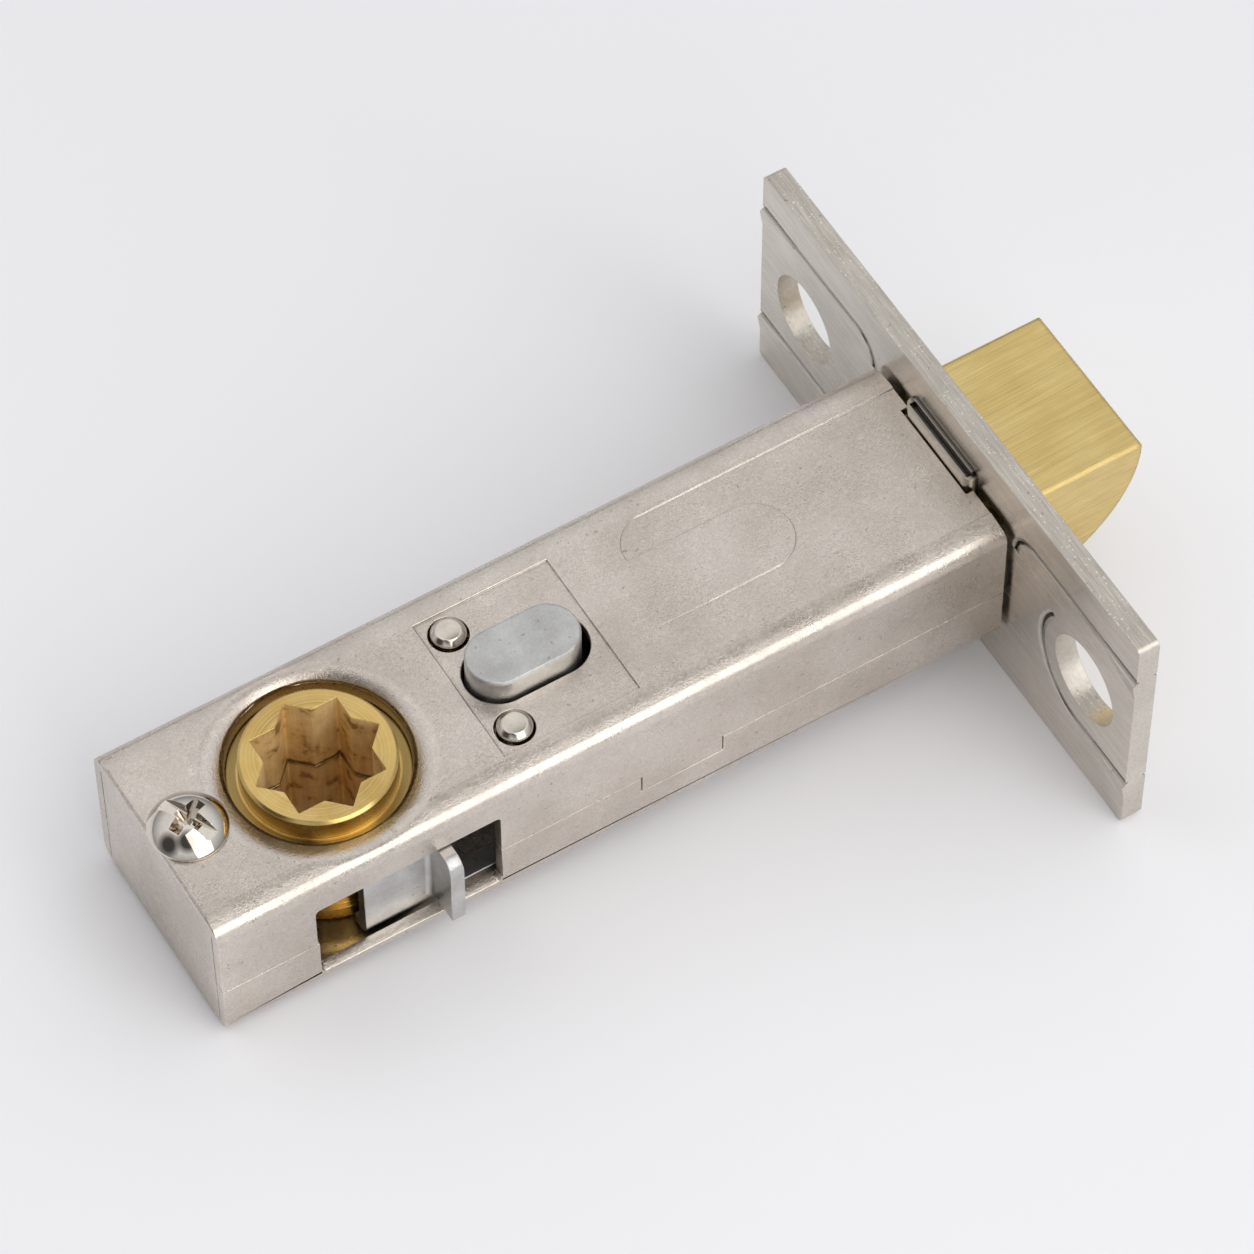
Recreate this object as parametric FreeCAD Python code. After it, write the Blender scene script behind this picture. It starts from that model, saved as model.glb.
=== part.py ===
import FreeCAD, Part
import math
import os
from FreeCAD import Vector

# Tubular mortice latch, millimetres.
# Origin: middle of the fixing plate, on its front face.
# +X: the way the bolt comes out.  +Y: across the door edge plate.  +Z: the spindle's way out.
# Sizes that drive the part stand first; the places worked out from them follow.

# Fixing plate
plate_length = 57.15
plate_width = 25.4
plate_thickness = 2.0
plate_corner_radius = 0.6
screw_hole_radius = 4.25
screw_edge_distance = 6.875
groove_high_z = 8.3
groove_low_z = -6.7
groove_depth = 0.3
groove_half_width = 0.2
groove_bend_radius = 2.6
groove_bend_y = 10.9
groove_round_hole_radius = 6.3
groove_wrap_start = 140
groove_wrap_turn = 130
groove_sweep_radius = 11.5
groove_sweep_turn = 24
burr_height = 0.3
burr_drop = 0.25
burr_width = 2.4
burr_length = 5.0
burr_end = 0.05

# Case of two pressed shells
case_gap_to_plate = 0.4
backset_to_hub = 62.0
case_half_height = 7.42
sheet = 1.1
edge_radius = 1.2
crown_edge = 2.6
crown_drop = 0.2
seam_z = -1.0
seam_gap = 0.13
tongue_length = 7.7
tongue_depth = 2.0
rear_wall_foot = 0.32
rear_bend_radius = 0.5
hidden_radius = 0.25

# Coined pad on the crown, ahead of the plunger, with a tongue left standing in it
pad_behind_seat = 8.6
pad_ramp_setback = 2.4
pad_ramp_length = 6.0
pad_edge = 3.1
pad_depth = 0.12
pad_corner_radius = 3.2
pad_tongue_length = 13.6
pad_tongue_high_y = 3.76
pad_tongue_low_y = -3.1

# Window in the near wall, for the retractor's tab
window_front_gap = 4.6
window_rear_gap = 0.3
window_step = 0.15
window_corner = 0.5
window_sill = 0.6

# Hooked lugs of the plate, in notches of the shells' front edges
lug_half_width = 4.9
lug_rear = 3.0
lug_rise = 1.2
lug_corner_radius = 0.85
lug_rim = 0.3
lug_channel_depth = 0.45
lug_crest_width = 0.3
lug_crest_rise = 0.45
lug_crest_inset = 0.5
lug_clearance = 0.1
lug_shelf = 0.25

# Bolt
bolt_throw = 12.7
bolt_travel = 11.0
bolt_tail = 4.0
bolt_step_x = -1.6
bolt_step = 1.2
bolt_bevel_foot = 4.7
bolt_bevel_bulge = 2.2
bolt_nose_radius = 0.3
shank_depth_in_bolt = 6.0
shank_beyond_drive_pin = 1.5
shank_pin_radius = 1.0
shank_pin_x = -1.2
drive_pin_radius = 1.25
drive_pin_rise = 0.6
guide_thickness = 1.2
guide_clearance = 0.1

# Bolt spring
spring_wire = 0.8
spring_turns = 6.5
spring_steps = 14
wire_sides = 8
spring_inner_gap = 0.55
seat_ahead_of_hub = 40.0
seat_thickness = 1.0
washer_thickness = 0.4
washer_rim = 0.45
washer_gap = 0.3

# Retractor
retractor_thickness = 1.1
retractor_front_reach = 3.5
retractor_rear_reach = 1.2
retractor_corner = 1.3
retractor_side_gap = 0.3
lip_width = 1.5
lip_step = 0.2
tab_thickness = 1.3
tab_offset = 0.8
tab_projection = 2.0
tab_foot_gap = 1.1
tab_corner_radius = 1.3
tab_foot_radius = 0.3
tab_bend_radius = 0.6
tab_root_offset = 0.1

# Split hub
spindle_across_flats = 8.0
spindle_clearance = 0.1
star_points = 8
hub_core_wall = 0.372
hub_boss_wall = 0.82
hub_boss_rise = 0.98
hub_boss_chamfer = 0.25
hub_split_gap = 0.2
hub_journal_step = 1.0
hub_journal_drop = 1.3
hub_collar_depth = 0.5
hub_collar_wall = 0.6
hub_flange_step = 0.75
hub_flange_thickness = 0.7
hub_lower_step = 0.2
hub_lower_rise = 0.88
cam_step = 0.25
cam_side_gap = 0.65
cam_top_gap = 0.62
cam_floor_gap = 0.3
cam_hollow_step = 1.0
cam_root_step = 0.2
cam_flank_angles = (45.5, 42.3, 46.3)
lip_inside_core = 0.3
rim_flare = 0.45
rim_steps = 3

# Privacy plunger, its guide posts and detent wire
plunger_ahead_of_hub = 14.1
plunger_length = 10.2
plunger_half_width = 2.82
plunger_rise = 2.18
plunger_foot = 0.22
plunger_push = 2.4
plunger_chamfer = 0.15
plunger_slot_rear_gap = 0.3
plunger_slot_front_gap = 0.8
plunger_slot_side_gap = 0.23
plunger_tap_radius = 1.05
plunger_tap_depth = 6.0
post_setback = 1.15
post_radius = 1.52
post_rise = 0.53
post_chamfer = 0.5
post_tail_radius = 1.1
post_hole_radius = 1.7
post_hole_wall = 0.55
detent_wire = 0.6
detent_z = 1.5
detent_bite = 0.35
detent_overhang = 2.3
recess_rear_margin = 0.7
recess_front_margin = 0.7
recess_edge = 2.9
recess_depth = 0.2

# Closing screw and the pillar that it turns into
screw_head_gap = 2.1
screw_radius = 1.45
screw_head_radius = 3.35
screw_head_height = 1.8
screw_slot_width = 0.9
screw_slot_depth = 0.8
screw_cross_depth = 1.2
screw_cross_reach = 1.9
screw_turn = -66
screw_tip_depth = 0.58
pillar_radius = 1.95
pillar_tail_radius = 1.2

# Clearances
running = 0.07
snug = 0.02
slide = 0.1
web_clearance = 0.15
floor_clearance = 0.12
pillar_gap = 0.05

# Hub, from the spindle hole outwards; then the case round it
star_across_flats = spindle_across_flats + spindle_clearance
star_tip = star_across_flats / 2 * math.sqrt(2)
hub_x = -backset_to_hub
hub_core_radius = star_tip + hub_core_wall
hub_boss_radius = star_tip + hub_boss_wall
hub_boss_height = case_half_height + hub_boss_rise
hub_journal_radius = hub_boss_radius + hub_journal_step
hub_journal_top = case_half_height - hub_journal_drop
hub_flange_radius = hub_journal_radius + hub_flange_step
hub_lower_radius = hub_core_radius + hub_lower_step
hub_lower_length = case_half_height + hub_lower_rise
cam_radius = hub_flange_radius + cam_step
inner_half_width = cam_radius + cam_side_gap
inner_half_height = case_half_height - sheet
case_half_width = inner_half_width + sheet
crown_half_width = case_half_width - crown_edge
lower_edge_z = seam_z - seam_gap
case_front_x = -plate_thickness - case_gap_to_plate
screw_spacing = plate_length - 2 * screw_edge_distance

# Retractor, its tab and the window
web_bottom = -inner_half_height + floor_clearance
web_top = web_bottom + retractor_thickness
collar_bottom = inner_half_height - crown_drop - hub_collar_depth
flange_top = collar_bottom - slide
flange_low = flange_top - hub_flange_thickness
cam_top = flange_low - cam_top_gap
cam_bottom = web_top + cam_floor_gap
retractor_half_width = inner_half_width - retractor_side_gap
wing_inner = retractor_half_width - retractor_thickness
wing_front = backset_to_hub - hub_core_radius + lip_inside_core
retractor_rear = backset_to_hub + retractor_rear_reach
retractor_top = cam_top
lip_half_height = retractor_top - lip_step
window_top = retractor_top - 2 * lip_step
window_bottom = web_bottom + window_sill
tab_rear = wing_front + tab_offset
tab_front = tab_rear - tab_thickness
tab_reach = case_half_width + tab_projection
tab_top = window_top - lip_step
tab_bottom = window_bottom + tab_foot_gap
window_rear = tab_rear + bolt_travel + window_rear_gap
window_front = tab_front - window_front_gap

# Bolt, its pins and its spring
bolt_half_width = inner_half_width - guide_thickness - 2 * guide_clearance
bolt_half_height = inner_half_height - floor_clearance
seat_front = backset_to_hub - seat_ahead_of_hub
seat_rear_x = -seat_front - seat_thickness
washer_radius = -web_top - washer_gap
spring_mean_radius = washer_radius - washer_rim - spring_wire / 2
shank_radius = spring_mean_radius - spring_wire / 2 - spring_inner_gap
drive_pin_x = seat_rear_x - drive_pin_radius - drive_pin_rise - web_clearance
drive_pin_top = shank_radius + drive_pin_rise
shank_rear = -drive_pin_x + shank_beyond_drive_pin
retractor_front = -drive_pin_x - retractor_front_reach
guide_rear = seat_front / 2 + seat_thickness

# Plunger, posts and detent
plunger_rear = backset_to_hub - plunger_ahead_of_hub
plunger_front = plunger_rear - plunger_length
plunger_top = case_half_height + plunger_rise
plunger_bottom = plunger_foot - case_half_height
plunger_slot_rear = plunger_rear + plunger_slot_rear_gap
plunger_slot_front = plunger_front - plunger_slot_front_gap
plunger_slot_half_width = plunger_half_width + plunger_slot_side_gap
post_x = post_setback - plunger_rear
post_y = plunger_slot_half_width + post_hole_radius + post_hole_wall
post_top = case_half_height + post_rise
detent_end_y = post_y + detent_overhang
recess_rear = plunger_slot_rear + recess_rear_margin
recess_front = plunger_slot_front - recess_front_margin
recess_half_width = case_half_width - recess_edge
tongue_rear = plunger_front
tongue_front = tongue_rear - tongue_length
pad_rear = seat_front + pad_behind_seat
pad_ramp_rear = pad_rear + pad_ramp_setback
pad_ramp_end = pad_ramp_rear - pad_ramp_length
pad_tongue_front = pad_rear - pad_tongue_length
pad_high_y = case_half_width - pad_edge
pad_low_y = -crown_half_width

# Closing screw and the case's rear
screw_x = hub_x - hub_boss_radius - screw_head_gap - screw_head_radius
screw_length = case_half_height + screw_tip_depth
case_rear_x = screw_x - pillar_radius - pillar_gap - sheet
rear_wall_inner_x = case_rear_x + sheet
far = 200.0

os.makedirs("parts", exist_ok=True)


# Helpers
def block(x0, x1, y0, y1, z0, z1):
    return Part.makeBox(x1 - x0, y1 - y0, z1 - z0, Vector(x0, y0, z0))


def rod_z(x, y, radius, z0, z1):
    return Part.makeCylinder(radius, z1 - z0, Vector(x, y, z0), Vector(0, 0, 1))


def rod_x(y, z, radius, x0, x1):
    return Part.makeCylinder(radius, x1 - x0, Vector(x0, y, z), Vector(1, 0, 0))


def rod_y(x, z, radius, y0, y1):
    return Part.makeCylinder(radius, y1 - y0, Vector(x, y0, z), Vector(0, 1, 0))


def line(a, b):
    return Part.LineSegment(a, b).toShape()


def arc(a, b, c):
    return Part.Arc(a, b, c).toShape()


def prism(edges, direction):
    return Part.Face(Part.Wire(edges)).extrude(direction)


def closed(points):
    return Part.Face(Part.makePolygon(list(points) + [points[0]]))


def polar(x, y, radius, degrees, z=0.0):
    angle = math.radians(degrees)
    return Vector(x + radius * math.cos(angle), y + radius * math.sin(angle), z)


def obround_z(x0, x1, half_width, z0, z1):
    rear = x0 + half_width
    front = x1 - half_width
    middle = block(rear, front, -half_width, half_width, z0, z1)
    ends = [rod_z(rear, 0, half_width, z0, z1), rod_z(front, 0, half_width, z0, z1)]
    return middle.fuse(ends).removeSplitter()


def rounded_bar_y(x0, x1, y0, y1, z0, z1, radius):
    """A plate across X with its four X-parallel edges rounded."""
    bar = block(x0, x1, y0, y1, z0, z1)
    edges = [e for e in bar.Edges if abs(e.tangentAt(e.FirstParameter).x) > 0.99]
    return bar.makeFillet(radius, edges)


def flip(shape):
    """The same shape turned upside down, for the lower shell's side."""
    return shape.mirror(Vector(0, 0, 0), Vector(0, 0, 1))


def save(name, shape):
    shape = shape.removeSplitter()
    if len(shape.Solids) == 1:
        shape = shape.Solids[0]
    shape.exportStep(os.path.join("parts", name + ".step"))
    print(name, len(shape.Solids), round(shape.Volume, 2), shape.isValid())
    return shape


# Case shells
def channel_body(inset, foot_z, x0, x1):
    """A filled channel: flat crown, falling shoulders, round edges, open end at foot_z."""
    width = case_half_width - inset
    height = case_half_height - inset
    radius = max(edge_radius - inset, hidden_radius)
    shoulder_z = height - crown_drop
    bend = radius * math.sqrt(0.5)
    right_foot = Vector(x0, width, foot_z)
    right_side = Vector(x0, width, shoulder_z - radius)
    right_mid = Vector(x0, width - radius + bend, shoulder_z - radius + bend)
    right_edge = Vector(x0, width - radius, shoulder_z)
    right_crown = Vector(x0, crown_half_width, height)
    left_crown = Vector(x0, -crown_half_width, height)
    left_edge = Vector(x0, -width + radius, shoulder_z)
    left_mid = Vector(x0, -width + radius - bend, shoulder_z - radius + bend)
    left_side = Vector(x0, -width, shoulder_z - radius)
    left_foot = Vector(x0, -width, foot_z)
    edges = [line(right_foot, right_side),
             arc(right_side, right_mid, right_edge),
             line(right_edge, right_crown),
             line(right_crown, left_crown),
             line(left_crown, left_edge),
             arc(left_edge, left_mid, left_side),
             line(left_side, left_foot),
             line(left_foot, right_foot)]
    return prism(edges, Vector(x1 - x0, 0, 0))


def channel(foot_z):
    outside = channel_body(0, foot_z, case_rear_x, case_front_x)
    inside = channel_body(sheet, foot_z - 1, case_rear_x - 1, case_front_x + 1)
    return outside.cut(inside)


def lug_notch():
    reach = lug_half_width + lug_clearance
    return block(-lug_rear - lug_clearance, 0, -reach, reach, bolt_half_height, far)


def window(z0, z1, rear):
    """Cutter for the near wall, its corners rounded."""
    hole = block(-rear, -window_front, -far, -inner_half_width + hidden_radius, z0, z1)
    edges = [e for e in hole.Edges if abs(e.tangentAt(e.FirstParameter).y) > 0.99]
    return hole.makeFillet(window_corner, edges)


def side_tongues(clearance):
    foot = seam_z - tongue_depth - clearance
    rear = -tongue_rear - clearance
    front = -tongue_front + clearance
    near = block(rear, front, -case_half_width, -inner_half_width, foot, seam_z)
    off = block(rear, front, inner_half_width, case_half_width, foot, seam_z)
    return [near, off]


def flared_hole(radius):
    """Cutter for a hole through the crown, its outer rim turned outwards in steps of a curve."""
    top = case_half_height + 1
    rim = [Vector(hub_x, 0, 0), Vector(hub_x + radius, 0, 0)]
    for i in range(rim_steps + 1):
        angle = math.radians(90 * i / rim_steps)
        rim.append(Vector(hub_x + radius + rim_flare * (1 - math.cos(angle)), 0,
                          case_half_height - rim_flare * (1 - math.sin(angle))))
    rim.append(Vector(hub_x + radius + rim_flare, 0, top))
    rim.append(Vector(hub_x, 0, top))
    return closed(rim).revolve(Vector(hub_x, 0, 0), Vector(0, 0, 1), 360)


def crown_pad():
    """Cutters: a flat sunk field beside the tongue, and one that ramps down below it."""
    top = case_half_height
    floor = top - pad_depth
    field = block(-pad_rear, 0, pad_tongue_low_y, pad_high_y, floor, top + 1)
    corner = [e for e in field.Edges
              if abs(e.tangentAt(e.FirstParameter).z) > 0.99
              and e.CenterOfMass.x < -1 and e.CenterOfMass.y > 0]
    field = field.makeFillet(pad_corner_radius, corner)
    half = (pad_tongue_high_y - pad_tongue_low_y) / 2
    tongue = obround_z(-pad_rear - 2 * half, -pad_tongue_front, half, floor - 1, top + 2)
    tongue.translate(Vector(0, pad_tongue_high_y - half, 0))
    ramp = closed([Vector(-pad_ramp_rear, pad_low_y, top), Vector(-pad_ramp_end, pad_low_y, floor),
                   Vector(0, pad_low_y, floor), Vector(0, pad_low_y, top + 1),
                   Vector(-pad_ramp_rear, pad_low_y, top + 1)])
    ramp = ramp.extrude(Vector(0, pad_tongue_low_y - pad_low_y, 0))
    return [field.cut(tongue), ramp.cut(tongue)]


def plunger_slot():
    return obround_z(-plunger_slot_rear, -plunger_slot_front, plunger_slot_half_width,
                     0, case_half_height + 1)


def rear_wall():
    """The crown folded down between the side walls, with a round bend."""
    half = inner_half_width - seam_gap
    foot = -case_half_height + rear_wall_foot
    wall = block(case_rear_x, rear_wall_inner_x, -half, half, foot, case_half_height - crown_drop)
    return wall


def rear_bend_cutter():
    r = rear_bend_radius
    corner = block(case_rear_x - 1, case_rear_x + r, -far, far, case_half_height - r,
                   case_half_height + 1)
    return corner.cut(rod_y(case_rear_x + r, case_half_height - r, r, -far, far))


def make_upper_shell():
    collar = rod_z(hub_x, 0, hub_journal_radius + running + hub_collar_wall,
                   collar_bottom, inner_half_height + snug)
    shell = channel(seam_z).fuse(side_tongues(0) + [rear_wall(), collar])
    shell = shell.cut(rear_bend_cutter())
    shell = shell.cut([lug_notch(),
                       window(window_top - far, window_top, window_rear),
                       flared_hole(hub_journal_radius + running),
                       plunger_slot(),
                       rod_z(post_x, post_y, post_hole_radius, 0, far),
                       rod_z(post_x, -post_y, post_hole_radius, 0, far),
                       rod_z(screw_x, 0, screw_radius + running, 0, far)])
    recess = block(-recess_rear, -recess_front, -recess_half_width, recess_half_width,
                   case_half_height - recess_depth, case_half_height + 1)
    return shell.cut([recess] + crown_pad())


def make_lower_shell():
    shell = flip(channel(-lower_edge_z))
    rear_opening = block(case_rear_x - 1, rear_wall_inner_x + seam_gap,
                         -inner_half_width, inner_half_width, -case_half_height - 1, 0)
    cutters = side_tongues(seam_gap) + [
        rear_opening,
        flip(lug_notch()),
        window(window_bottom, window_bottom + far, window_rear - window_step),
        flip(rod_z(hub_x, 0, hub_lower_radius + running, 0, far)),
        flip(plunger_slot()),
        flip(rod_z(screw_x, 0, pillar_tail_radius + snug, 0, far))]
    for side in (-1, 1):
        cutters.append(flip(rod_z(post_x, side * post_y, post_tail_radius + snug, 0, far)))
    return shell.cut(cutters)


# Fixing plate
def vee(y0, y1, z, face_x, depth):
    """A straight V cutter along Y in a face across X; depth is signed along X."""
    points = [Vector(face_x, y0, z - groove_half_width),
              Vector(face_x + depth, y0, z),
              Vector(face_x, y0, z + groove_half_width),
              Vector(face_x - depth, y0, z)]
    return closed(points).extrude(Vector(0, y1 - y0, 0))


def vee_bend(y, z, radius, start, sweep, face_x, depth):
    """The same V cutter turned about an X line through y, z."""
    points = [Vector(face_x, y + radius - groove_half_width, z),
              Vector(face_x + depth, y + radius, z),
              Vector(face_x, y + radius + groove_half_width, z),
              Vector(face_x - depth, y + radius, z)]
    face = closed(points)
    face.rotate(Vector(face_x, y, z), Vector(1, 0, 0), start)
    return face.revolve(Vector(face_x, y, z), Vector(1, 0, 0), sweep)


def plate_grooves():
    """The coined lines of the plate: two on the front, two each side of the case on the back."""
    back = -plate_thickness
    end = plate_length / 2 + 1
    hole_y = screw_spacing / 2
    bend_start = groove_bend_y + groove_bend_radius
    sweep_y = case_half_width + groove_sweep_radius * math.sin(math.radians(groove_sweep_turn))
    high = [vee(bend_start, end, groove_high_z, back, groove_depth),
            vee_bend(bend_start, groove_high_z - groove_bend_radius, groove_bend_radius,
                     90, 90, back, groove_depth)]
    round_hole = [vee(hole_y, end, groove_low_z, back, groove_depth),
                  vee_bend(hole_y, groove_low_z + groove_round_hole_radius,
                           groove_round_hole_radius, groove_wrap_start, groove_wrap_turn,
                           back, groove_depth)]
    swept = [vee(sweep_y, end, groove_low_z, back, groove_depth),
             vee_bend(sweep_y, groove_low_z + groove_sweep_radius, groove_sweep_radius,
                      -90 - groove_sweep_turn, groove_sweep_turn, back, groove_depth)]
    cutters = high + swept
    for cutter in high + round_hole:
        cutters.append(cutter.mirror(Vector(0, 0, 0), Vector(0, 1, 0)))
    for z in (groove_high_z, groove_low_z):
        cutters.append(vee(-end, end, z, 0.0, groove_depth))
    return cutters


def burr(z, side):
    """Metal pushed up below a coined line, tallest at the plate's end and fading inwards."""
    outer = side * plate_length / 2
    inner = side * (plate_length / 2 - burr_length)
    back = -plate_thickness
    sections = []
    for y, height in ((outer, burr_height), (inner, burr_end)):
        share = height / burr_height
        root_z = z - groove_half_width
        sections.append(Part.makePolygon([
            Vector(back + snug, y, root_z),
            Vector(back - height, y, root_z - burr_drop * share),
            Vector(back + snug, y, root_z - burr_width * share),
            Vector(back + snug, y, root_z)]))
    return Part.makeLoft(sections, True, True)


def make_lug():
    """Hook out of the plate's back: rounded ends, a channel along its top, a crest at the plate."""
    top = case_half_height + lug_rise
    arm_z = bolt_half_height + lug_shelf
    half = lug_half_width
    front = -plate_thickness + snug
    hook = block(-lug_rear, front, -half, half, arm_z, top)
    corners = [e for e in hook.Edges
               if abs(e.tangentAt(e.FirstParameter).z) > 0.99 and e.CenterOfMass.x < -lug_rear + snug]
    hook = hook.makeFillet(lug_corner_radius, corners)
    crest_rear = -plate_thickness - lug_crest_width
    crest_half = half - lug_crest_inset
    crest = block(crest_rear, front, -crest_half, crest_half, top - snug, top + lug_crest_rise)
    channel_cut = block(-lug_rear + lug_rim, crest_rear, -crest_half, crest_half,
                        top - lug_channel_depth, top + 1)
    return hook.cut(channel_cut).fuse(crest)


def make_base_plate():
    plate = rounded_bar_y(-plate_thickness, 0, -plate_length / 2, plate_length / 2,
                          -plate_width / 2, plate_width / 2, plate_corner_radius)
    lug = make_lug()
    burrs = [burr(z, side) for z in (groove_high_z, groove_low_z) for side in (-1, 1)]
    plate = plate.fuse([lug, flip(lug)] + burrs)
    opening_y = bolt_half_width + 2 * guide_clearance
    opening_z = bolt_half_height + guide_clearance
    cutters = plate_grooves()
    cutters.append(block(-far, far, -opening_y, opening_y, -opening_z, opening_z))
    for side in (-1, 1):
        cutters.append(rod_x(side * screw_spacing / 2, 0, screw_hole_radius, -far / 2, far / 2))
    return plate.cut(cutters)


# Bolt and what moves with it
def bolt_profile():
    top = bolt_half_height
    nose = bolt_nose_radius
    bend = nose * (1 - math.sqrt(0.5))
    side = -bolt_half_width
    tail = Vector(-bolt_tail, side, top - bolt_step)
    step = Vector(bolt_step_x, side, top - bolt_step)
    shoulder = Vector(bolt_step_x, side, top)
    nose_top = Vector(bolt_throw - nose, side, top)
    nose_mid = Vector(bolt_throw - bend, side, top - bend)
    nose_low = Vector(bolt_throw, side, top - nose)
    foot = Vector(bolt_bevel_foot, side, -top)
    chord = foot - nose_low
    outward = Vector(-chord.z, 0, chord.x).normalize()
    middle = (nose_low + foot) * 0.5 + outward * bolt_bevel_bulge
    shoulder_low = Vector(bolt_step_x, side, -top)
    step_low = Vector(bolt_step_x, side, -top + bolt_step)
    tail_low = Vector(-bolt_tail, side, -top + bolt_step)
    return [line(tail, step), line(step, shoulder), line(shoulder, nose_top),
            arc(nose_top, nose_mid, nose_low), arc(nose_low, middle, foot),
            line(foot, shoulder_low), line(shoulder_low, step_low), line(step_low, tail_low),
            line(tail_low, tail)]


def make_bolt_head():
    head = prism(bolt_profile(), Vector(0, 2 * bolt_half_width, 0))
    bore = rod_x(0, 0, shank_radius + snug, -bolt_tail - 1, -bolt_tail + shank_depth_in_bolt + snug)
    cross = rod_y(shank_pin_x, 0, shank_pin_radius + snug, -far, far)
    return head.cut([bore, cross])


def make_bolt_shank():
    shank = rod_x(0, 0, shank_radius, -shank_rear, -bolt_tail + shank_depth_in_bolt)
    cross = rod_y(shank_pin_x, 0, shank_pin_radius + snug, -far, far)
    drive = rod_z(drive_pin_x, 0, drive_pin_radius + snug, -far, far)
    return shank.cut([cross, drive])


def make_shank_pin():
    half = bolt_half_width - slide
    return rod_y(shank_pin_x, 0, shank_pin_radius, -half, half)


def make_drive_pin():
    return rod_z(drive_pin_x, 0, drive_pin_radius, web_bottom + slide, drive_pin_top)


def make_bolt_guide(side):
    inner = bolt_half_width + guide_clearance
    outer = inner_half_width - guide_clearance
    half = inner_half_height - edge_radius
    y0 = min(side * inner, side * outer)
    y1 = max(side * inner, side * outer)
    return block(-guide_rear, -plate_thickness - slide, y0, y1, -half, half)


def wire_section(centre, radius, across, up):
    """Eight-sided wire section; across and up span its plane."""
    points = []
    for i in range(wire_sides):
        angle = 2 * math.pi * i / wire_sides
        points.append(centre + across * (radius * math.cos(angle)) + up * (radius * math.sin(angle)))
    return Part.makePolygon(points + [points[0]])


def make_bolt_spring():
    """Coil round the shank, from the bolt's tail to the washer."""
    front = -bolt_tail - snug - spring_wire / 2
    rear = -seat_front + washer_thickness + 2 * snug + spring_wire / 2
    count = round(spring_turns * spring_steps)
    sections = []
    for i in range(count + 1):
        angle = 2 * math.pi * i / spring_steps
        outward = Vector(0, math.cos(angle), math.sin(angle))
        centre = outward * spring_mean_radius
        centre.x = rear + (front - rear) * i / count
        sections.append(wire_section(centre, spring_wire / 2, outward, Vector(1, 0, 0)))
    return Part.makeLoft(sections, True, True)


def make_spring_seat():
    half = inner_half_width - snug
    plate = rounded_bar_y(seat_rear_x, -seat_front, -half, half, web_top + 2 * slide,
                          inner_half_height - crown_drop - slide, 2 * hidden_radius)
    return plate.cut(rod_x(0, 0, shank_radius + slide, -far / 2, 0))


def make_spring_washer():
    ring = rod_x(0, 0, washer_radius, -seat_front + snug, -seat_front + snug + washer_thickness)
    return ring.cut(rod_x(0, 0, shank_radius + slide, -far / 2, 0))


# Retractor: a forked web on the case floor, two wings, two lips, one tab
def make_retractor():
    half = retractor_half_width
    web = block(-retractor_rear, -retractor_front, -half, half, web_bottom, web_top)
    fork_half = max(hub_boss_radius, post_y + post_radius) + web_clearance
    fork_front = post_x + post_radius + web_clearance + bolt_travel
    plunger_gap = plunger_half_width + 2 * web_clearance
    throat_front = -plunger_front + 2 * web_clearance + bolt_travel
    pin_half = drive_pin_radius + slide
    pin_front = drive_pin_x + drive_pin_radius + slide / 2
    low = web_bottom - 1
    openings = [block(-far, fork_front, -fork_half, fork_half, low, web_top + 1),
                block(-far, throat_front, -plunger_gap, plunger_gap, low, web_top + 1),
                block(-far, drive_pin_x, -pin_half, pin_half, low, web_top + 1),
                rod_z(pin_front - pin_half, 0, pin_half, low, web_top + 1)]
    pieces = []
    for side in (-1, 1):
        wing = block(-retractor_rear, -wing_front, wing_inner, half, web_bottom, retractor_top)
        lip = block(-wing_front - retractor_thickness, -wing_front, wing_inner - lip_width,
                    wing_inner, -lip_half_height, lip_half_height)
        for piece in (wing, lip):
            if side < 0:
                piece = piece.mirror(Vector(0, 0, 0), Vector(0, 1, 0))
            pieces.append(piece)
    root_y = -half - tab_root_offset
    tab_root = block(-tab_rear, -wing_front, root_y, -wing_inner, tab_bottom, tab_top)
    tab = block(-tab_rear, -tab_front, -tab_reach, root_y, tab_bottom, tab_top)
    outer = [e for e in tab.Edges
             if abs(e.tangentAt(e.FirstParameter).x) > 0.99 and e.CenterOfMass.y < root_y - 1]
    head = [e for e in outer if e.CenterOfMass.z > 0]
    tab = tab.makeFillet(tab_corner_radius, head)
    foot = [e for e in tab.Edges
            if abs(e.tangentAt(e.FirstParameter).x) > 0.99
            and e.CenterOfMass.y < root_y - 1 and e.CenterOfMass.z < tab_bottom + snug]
    tab = tab.makeFillet(tab_foot_radius, foot)
    bend = tab_bend_radius
    fold = block(-tab_rear - bend, -tab_rear, -half - bend, -half, tab_bottom, tab_top)
    fold = fold.cut(rod_z(-tab_rear - bend, -half - bend, bend, tab_bottom - 1, tab_top + 1))
    pieces.append(fold)
    body = web.fuse(pieces + [tab_root, tab]).cut(openings)
    return body.cut(bend_cutters())


def bend_cutters():
    """Round the folds between web and wings."""
    cutters = []
    r = retractor_corner
    half = retractor_half_width
    corner = block(-retractor_rear - 1, -retractor_front + 1, half - r, half + 1,
                   web_bottom - 1, web_bottom + r)
    rounding = rod_x(half - r, web_bottom + r, r, -retractor_rear - 1, -retractor_front + 1)
    for side in (-1, 1):
        cutter = corner.cut(rounding)
        if side < 0:
            cutter = cutter.mirror(Vector(0, 0, 0), Vector(0, 1, 0))
        cutters.append(cutter)
    return cutters


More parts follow.
